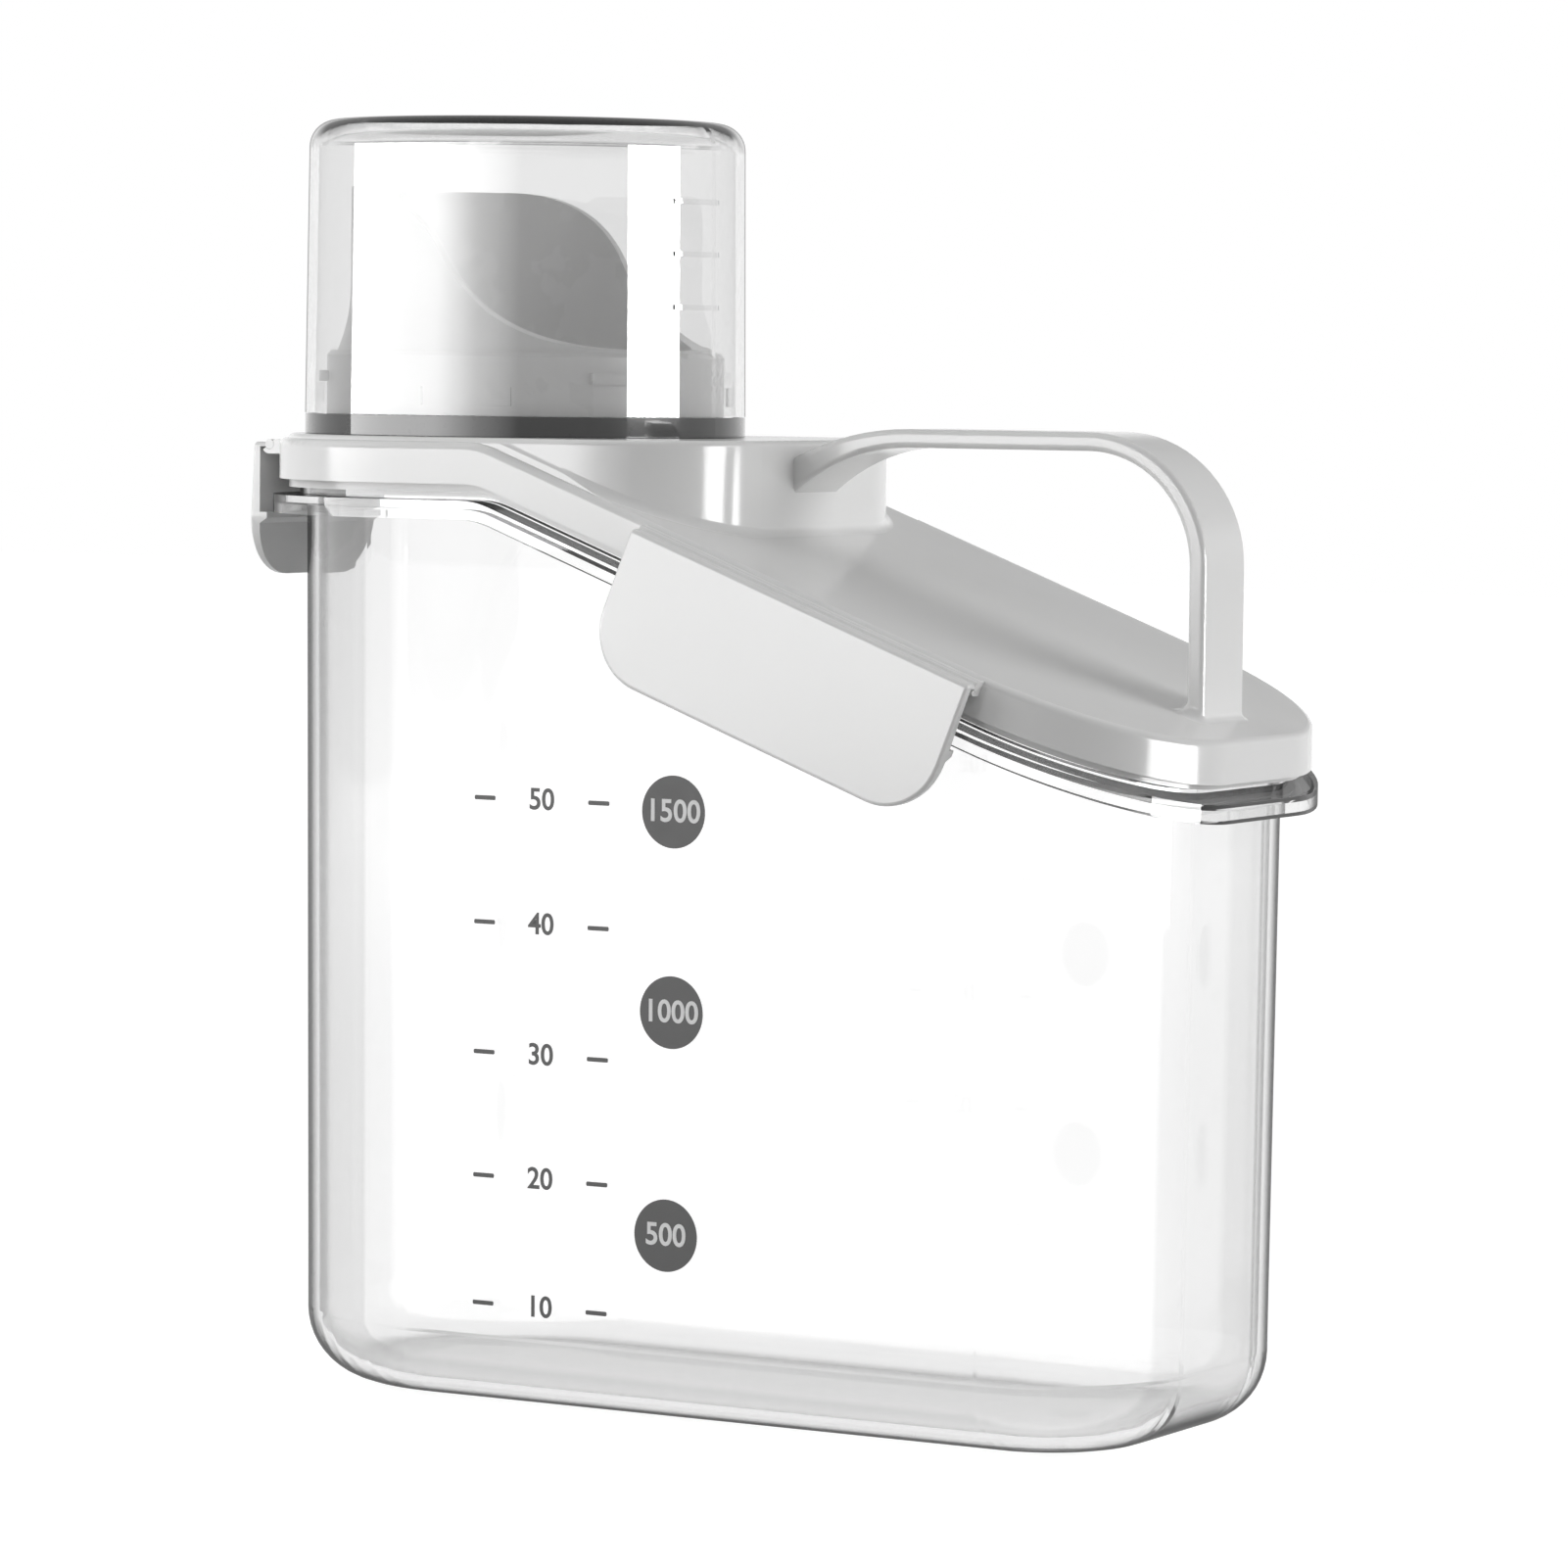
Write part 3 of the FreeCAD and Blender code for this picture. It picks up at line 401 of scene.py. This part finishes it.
ring_dark = soft_rubber("ring_dark", 0.03, 0.30, coat=1.0, gloss=0.1, grain=0.01)
gasket_pale = soft_rubber("gasket_pale", 0.70, 0.50)
scale_ink = soft_rubber("scale_ink", 0.07, 0.45)
badge_white = soft_rubber("badge_white", 0.78, 0.45)
print("soft finishes:", ring_dark.name, gasket_pale.name, scale_ink.name, badge_white.name)

# %% [markdown]
# ## Dressing the CAD nodes
#
# Every moulded shape is right as it comes from the CAD model, so no node is replaced.
# Each gets its finish in its own material slot, which leaves its mesh untouched.

# %% Finishes on the nodes
FINISHES = {
    "container_body": tank_clear,
    "lid_cover": lid_white,
    "lid_gasket": gasket_pale,
    "pour_spout": spout_shaded_white,
    "cup_seal": ring_dark,
    "measuring_cup": cup_clear,
    "front_flap": flap_white,
    "rear_flap": flap_white,
    "end_flap": flap_white,
}
for node_name, finish in FINISHES.items():
    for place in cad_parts[node_name].material_slots:
        place.material = finish
    print(node_name, "wears", finish.name)

# %% [markdown]
# ## The printed scale
#
# The front wall carries a scale: two columns of short ticks with plain numbers between
# them, and three round badges for the larger amounts. Ink on plastic is thin, but it
# does have an edge. Each tick is a rounded bar and each badge a disc with a softened rim.
# They are drawn flat, as on the printing plate, and the whole plate is then stood up
# against the wall, which leans by its mould draft.

# %% Working on one piece at a time
def put_down_tools():
    """Leaves edit mode and lets go of everything, so that an operator meets one piece."""
    if bpy.context.mode != "OBJECT":
        bpy.ops.object.mode_set(mode="OBJECT")
    bpy.ops.object.select_all(action="DESELECT")


def thicken(depth, softness):
    """Gives the flat active piece a thickness, and a rounded upper edge."""
    piece = bpy.context.object
    bpy.ops.object.mode_set(mode="EDIT")
    bpy.ops.mesh.select_all(action="SELECT")
    bpy.ops.mesh.extrude_region_move(TRANSFORM_OT_translate={"value": (0, 0, depth)})
    bpy.ops.mesh.select_all(action="SELECT")
    bpy.ops.mesh.normals_make_consistent(inside=False)
    bpy.ops.object.mode_set(mode="OBJECT")
    rim = piece.modifiers.new("soft_rim", "BEVEL")
    rim.width, rim.segments = softness, 2
    rim.limit_method, rim.angle_limit = "ANGLE", math.radians(40)
    bpy.ops.object.modifier_apply(modifier=rim.name)
    return piece


print("plate tools ready")

# %% [markdown]
# A tick starts as a plane whose corners are bevelled, and a badge as a filled circle.
# Both then get the thickness of the ink.

# %% Drawing on the printing plate
INK = 0.05 * MM
INK_EDGE = INK * 0.3
BADGE_CORNERS = 72


def tick(width, height):
    """A short bar with rounded ends."""
    put_down_tools()
    bpy.ops.mesh.primitive_plane_add(size=1.0)
    piece = bpy.context.object
    piece.scale = (width, height, 1.0)
    bpy.ops.object.transform_apply(location=False, rotation=False, scale=True)
    bpy.ops.object.mode_set(mode="EDIT")
    bpy.ops.mesh.select_all(action="SELECT")
    bpy.ops.mesh.bevel(offset=height * 0.3, segments=3, affect="VERTICES")
    bpy.ops.object.mode_set(mode="OBJECT")
    return thicken(INK, INK_EDGE)


def badge(radius):
    """A round disc of ink with a softened rim."""
    put_down_tools()
    bpy.ops.mesh.primitive_circle_add(vertices=BADGE_CORNERS, radius=radius, fill_type="NGON")
    return thicken(INK, INK_EDGE)


print("ink is", INK / MM, "mm thick")

# %% [markdown]
# A pattern that repeats is modelled once and copied, each copy with a mesh of its own.
# The copies are then joined, so one printed colour is one piece.

# %% Copying and joining
def copy_to(pattern, across, up):
    """A copy of a plate pattern with its own mesh, at a place in millimetres."""
    twin = pattern.copy()
    twin.data = pattern.data.copy()
    bpy.context.scene.collection.objects.link(twin)
    twin.location = Vector((across * MM, up * MM, 0.0))
    return twin


def join(pieces, name):
    """Joins pieces into one, with its place in its mesh."""
    put_down_tools()
    for piece in pieces:
        piece.select_set(True)
    bpy.context.view_layer.objects.active = pieces[0]
    bpy.ops.object.join()
    bpy.ops.object.transform_apply(location=True, rotation=True, scale=True)
    joined = bpy.context.object
    joined.name = joined.data.name = name
    return joined


def repeat(pattern, places, name):
    """Copies a pattern to each place, joins the copies and puts the pattern away."""
    joined = join([copy_to(pattern, across, up) for across, up in places], name)
    bpy.data.objects.remove(pattern)
    print(name, "has", len(places), "copies")
    return joined


print("copies can be joined")

# %% [markdown]
# The levels and columns below are millimetres on the wall, across from the middle of the
# container and up from its base.

# %% Ticks and badges
TICK_WIDTH, TICK_HEIGHT = 4.4 * MM, 0.8 * MM
TICK_LEVELS = [110.4, 88.1, 64.7, 42.4, 19.3]
TICK_COLUMNS = [-35.7, -11.9]
BADGE_RADIUS = 6.45 * MM
BADGES = [("1500", 3.5, 109.5), ("1000", 3.3, 74.0), ("500", 2.4, 34.3)]

tick_places = [(across, up) for across in TICK_COLUMNS for up in TICK_LEVELS]
badge_places = [(across, up) for text, across, up in BADGES]
ticks = repeat(tick(TICK_WIDTH, TICK_HEIGHT), tick_places, "scale_ticks")
discs = repeat(badge(BADGE_RADIUS), badge_places, "scale_badges")

# %% [markdown]
# Numbers could be modelled by hand, but Blender's own text object draws them well. It is
# turned into a mesh before it is placed, because only a mesh can hold its place.

# %% Numbers
NUMBERS = ["50", "40", "30", "20", "10"]
NUMBER_COLUMN = -23.8
NUMBER_SIZE, AMOUNT_SIZE = 5.4 * MM, 5.6 * MM
BOLDNESS = 0.018


def number(text, size, across, up, lift):
    """Plain figures, centred on a place of the plate."""
    put_down_tools()
    bpy.ops.object.text_add()
    words = bpy.context.object
    words.data.body = text
    words.data.size = size
    words.data.align_x, words.data.align_y = "CENTER", "CENTER"
    words.data.extrude = INK * 0.5
    words.data.offset = size * BOLDNESS
    words.data.resolution_u = 6
    bpy.ops.object.convert(target="MESH")
    words = bpy.context.object
    words.location = (across * MM, up * MM, lift + INK * 0.5)
    return words


figures = [
    number(text, NUMBER_SIZE, NUMBER_COLUMN, up, 0.0) for text, up in zip(NUMBERS, TICK_LEVELS)
]
numbers = join(figures, "scale_numbers")
figures = [number(text, AMOUNT_SIZE, across, up, INK) for text, across, up in BADGES]
amounts = join(figures, "badge_numbers")
print("numbers", NUMBERS, "and", [text for text, across, up in BADGES])

# %% [markdown]
# The plate now lies flat. Turned up by a right angle and the draft, it meets the wall
# all over, and it is sunk by a hair so that no gap shows between ink and plastic.

# %% Standing the print on the wall
WALL_DRAFT = math.radians(0.46)
WALL_FOOT = Vector((0.0, -40.764, 0.0)) * MM
SUNK = INK * 0.2
PRINTS = [
    (ticks, scale_ink, "dark_print"),
    (discs, scale_ink, "dark_print"),
    (numbers, scale_ink, "dark_print"),
    (amounts, badge_white, "white_lid"),
]


def wear(piece, finish):
    """Gives a new piece its one finish."""
    piece.data.materials.clear()
    piece.data.materials.append(finish)


for piece, ink, slot in PRINTS:
    put_down_tools()
    piece.select_set(True)
    bpy.context.view_layer.objects.active = piece
    piece.location = WALL_FOOT + Vector((0.0, SUNK, 0.0))
    piece.rotation_euler = (math.pi / 2 + WALL_DRAFT, 0.0, 0.0)
    bpy.ops.object.transform_apply(location=True, rotation=True, scale=True)
    wear(piece, ink)
    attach(piece, "container")
    print(piece.name, len(piece.data.polygons), "faces")

# %% [markdown]
# ## Raised marks on the cup
#
# The cup has three short raised marks, moulded in the clear plastic. Each is a small
# section spun round the cup's axis, so that it follows the curve of the wall. Spin can
# turn a shape inside out, so the faces are turned outwards afterwards.

# %% Cup marks
CUP_AXIS = Vector((-53.9, 0.0, 0.0)) * MM
CUP_RIM_LEVEL, CUP_RIM_RADIUS, CUP_DRAFT = 178.0, 40.7, 0.01
MARK_LEVELS = [217.5, 208.0, 198.4]
MARK_FROM, MARK_SWEEP = math.radians(-17.0), math.radians(18.0)
MARK_DEPTH, MARK_HEIGHT, MARK_OUT = 0.5 * MM, 0.9 * MM, 0.05 * MM


def cup_mark(level):
    """A raised bar along the cup's wall at a level in millimetres."""
    radius = (CUP_RIM_RADIUS - CUP_DRAFT * (level - CUP_RIM_LEVEL)) * MM + MARK_OUT
    along = Vector((math.cos(MARK_FROM), math.sin(MARK_FROM), 0.0))
    put_down_tools()
    bpy.ops.mesh.primitive_plane_add(size=1.0, rotation=(math.pi / 2, 0.0, 0.0))
    piece = bpy.context.object
    piece.scale = (MARK_DEPTH, MARK_HEIGHT, 1.0)
    piece.rotation_euler.z = MARK_FROM
    piece.location = CUP_AXIS + along * radius + Vector((0.0, 0.0, level * MM))
    bpy.ops.object.transform_apply(location=True, rotation=True, scale=True)
    bpy.ops.object.mode_set(mode="EDIT")
    bpy.ops.mesh.select_all(action="SELECT")
    bpy.ops.mesh.spin(steps=14, angle=-MARK_SWEEP, center=CUP_AXIS, axis=(0, 0, 1))
    bpy.ops.mesh.select_all(action="SELECT")
    bpy.ops.mesh.remove_doubles(threshold=0.001 * MM)
    bpy.ops.mesh.normals_make_consistent(inside=False)
    bpy.ops.object.mode_set(mode="OBJECT")
    return piece


marks = join([cup_mark(level) for level in MARK_LEVELS], "cup_marks")
wear(marks, cup_clear)
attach(marks, "cup")
print("cup marks reach", [round(value / MM, 2) for value in marks.dimensions], "mm")

# %% [markdown]
# ## Floor and surroundings
#
# The container stands on a white sweep that runs out of sight. A sweep lit to full white
# would pour light back onto the object, so floor and world are told apart by the kind of
# ray that meets them. A ray that is seen, straight, in a gloss or through the clear
# walls, finds them bright. Light that has bounced off a dull surface finds them plain.

# %% Rays that are looked at
def looked_at(recipe):
    """1 for a ray that is seen, straight, in a gloss or through a clear wall, and else 0."""
    straight = recipe.node("ShaderNodeLightPath", output="Is Camera Ray")
    in_gloss = recipe.node("ShaderNodeLightPath", output="Is Glossy Ray")
    through = recipe.node("ShaderNodeLightPath", output="Is Transmission Ray")
    scattered = recipe.node("ShaderNodeLightPath", output="Diffuse Depth")
    either = recipe.node("ShaderNodeMath", {"operation": "MAXIMUM"}, {0: in_gloss, 1: through})
    return (straight + either) * (scattered < 0.5)


print("rays can be told apart")

# %% [markdown]
# The floor is ordinary pale paint, on which the object's shadow falls, and a glow on top
# lifts it to white for the rays that are seen. The glow grows a little with distance, so
# that floor and background meet without a line.

# %% Floor
FLOOR_SIDE, FLOOR_DROP = 8.0, 0.3 * MM
FLOOR_PAINT = 0.45
NEAR_GLOW, MORE_GLOW = 0.74, 0.16
FADE_FROM, FADE_TO = 0.3, 1.8

put_down_tools()
bpy.ops.mesh.primitive_plane_add(size=FLOOR_SIDE, location=(0.0, 0.0, -FLOOR_DROP))
floor = bpy.context.object
floor.name = "floor"
recipe = Recipe(bpy.data.materials.new("floor_white"))
place = recipe.node("ShaderNodeTexCoord", output="Object")
away = recipe.node("ShaderNodeVectorMath", {"operation": "LENGTH"}, {0: place}, output="Value")
far = recipe.step(away, FADE_FROM, FADE_TO)
shine = (NEAR_GLOW + MORE_GLOW * far) * looked_at(recipe)
paint = recipe.node("ShaderNodeBsdfDiffuse", None, {"Color": grey(FLOOR_PAINT)})
glow = recipe.node("ShaderNodeEmission", None, {"Color": shine, "Strength": 1.0})
both = recipe.node("ShaderNodeAddShader", None, {0: paint, 1: glow})
recipe.node("ShaderNodeOutputMaterial", None, {"Surface": both})
floor.data.materials.append(recipe.owner)
floor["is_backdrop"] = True
print("floor", tuple(floor.dimensions)[:2])

# %% [markdown]
# The world is white to the eye and through the clear walls, and a plain soft grey as
# light. In a gloss it is white near the horizon and grey higher up, as a studio is, so
# the level tops keep their shape.

# %% World
AMBIENT = 0.34
DUSK_FROM, DUSK_TO = 0.14, 0.34

world = bpy.data.worlds.new("studio")
bpy.context.scene.world = world
recipe = Recipe(world)
way = recipe.node("ShaderNodeTexCoord", output="Generated")
through = recipe.node("ShaderNodeLightPath", output="Is Transmission Ray")
dusk = recipe.step(recipe.part(way, "Z"), DUSK_FROM, DUSK_TO)
seen = looked_at(recipe) * (1.0 - AMBIENT) * (1.0 - dusk * (1.0 - through))
sky = recipe.node("ShaderNodeBackground", None, {"Color": grey(1.0), "Strength": AMBIENT + seen})
recipe.node("ShaderNodeOutputWorld", None, {"Surface": sky})
print("world lights at", AMBIENT)

# %% [markdown]
# ## Lamps
#
# Two soft boxes light the scene: a broad one to the left of the camera, and a narrower
# one to the right. Each also shows as a white strip in the cup. A lamp bright enough for
# that strip would bleach the lid, so the boxes themselves only light, and low strips
# beside them only show in gloss. They are low because a level top, seen from behind,
# mirrors what stands above them. The left strip dies away towards the camera, and the
# right one has a gap at the height that the dark ring mirrors.

# %% Soft boxes
LOOK_AT = Vector((0.0, 0.0, 0.14))


def soft_box(name, bearing, away, height, size, power, gloss_only, fade=None):
    """An area lamp that faces the object; fade holds stops for its light across it."""
    data = bpy.data.lights.new(name, "AREA")
    data.shape = "RECTANGLE"
    data.size, data.size_y = size
    data.energy = power
    lamp = bpy.data.objects.new(name, data)
    bpy.context.scene.collection.objects.link(lamp)
    angle = math.radians(bearing)
    lamp.location = Vector((math.cos(angle) * away, math.sin(angle) * away, height))
    lamp.rotation_mode = "QUATERNION"
    lamp.rotation_quaternion = (LOOK_AT - lamp.location).to_track_quat("-Z", "Y")
    lamp.visible_camera = False
    lamp.visible_transmission = False
    lamp.visible_diffuse = not gloss_only
    lamp.visible_glossy = gloss_only
    if fade:
        recipe = Recipe(data)
        across = recipe.part(recipe.node("ShaderNodeNewGeometry", output="Parametric"), "X")
        light = recipe.node("ShaderNodeValToRGB", {"stops": fade}, {"Fac": across})
        glow = recipe.node("ShaderNodeEmission", None, {"Color": light, "Strength": 1.0})
        recipe.node("ShaderNodeOutputLight", None, {"Surface": glow})
    print(name, power, "W at", [round(value, 2) for value in lamp.location])


print("lamps face", tuple(LOOK_AT))

# %% [markdown]
# A bearing is in degrees from the handle end, turning towards the back. Distances,
# heights and sizes are in metres, and a lamp's power is in watts.

# %% Placing the lamps
LEFT_FADE = [(0.53, 1.0), (0.72, 0.35), (1.0, 0.0)]

soft_box(
    "left_box", bearing=-145, away=1.3, height=0.68,
    size=(1.3, 1.3), power=14.5, gloss_only=False,
)
soft_box(
    "left_strip", bearing=-112, away=1.3, height=0.232,
    size=(3.0, 0.228), power=16.6, gloss_only=True, fade=LEFT_FADE,
)
soft_box(
    "right_box", bearing=24, away=1.3, height=0.58,
    size=(0.9, 1.1), power=10.0, gloss_only=False,
)
soft_box(
    "right_strip", bearing=12, away=1.0, height=0.236,
    size=(0.62, 0.132), power=4.1, gloss_only=True,
)
soft_box(
    "right_foot", bearing=12, away=1.0, height=0.0785,
    size=(0.62, 0.157), power=4.8, gloss_only=True,
)

# %% [markdown]
# ## Finish
#
# The look must not change the object's size, so the box of the dressed model is printed
# after the CAD model's box.

# %% Sizes and finish
bpy.context.scene.view_settings.view_transform = "Standard"
put_down_tools()
boxes = {"cad": CAD_BOX, "visual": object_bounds()}
low, high = boxes["visual"]
print("visual box", [round(side / MM, 1) for side in high - low], "mm")
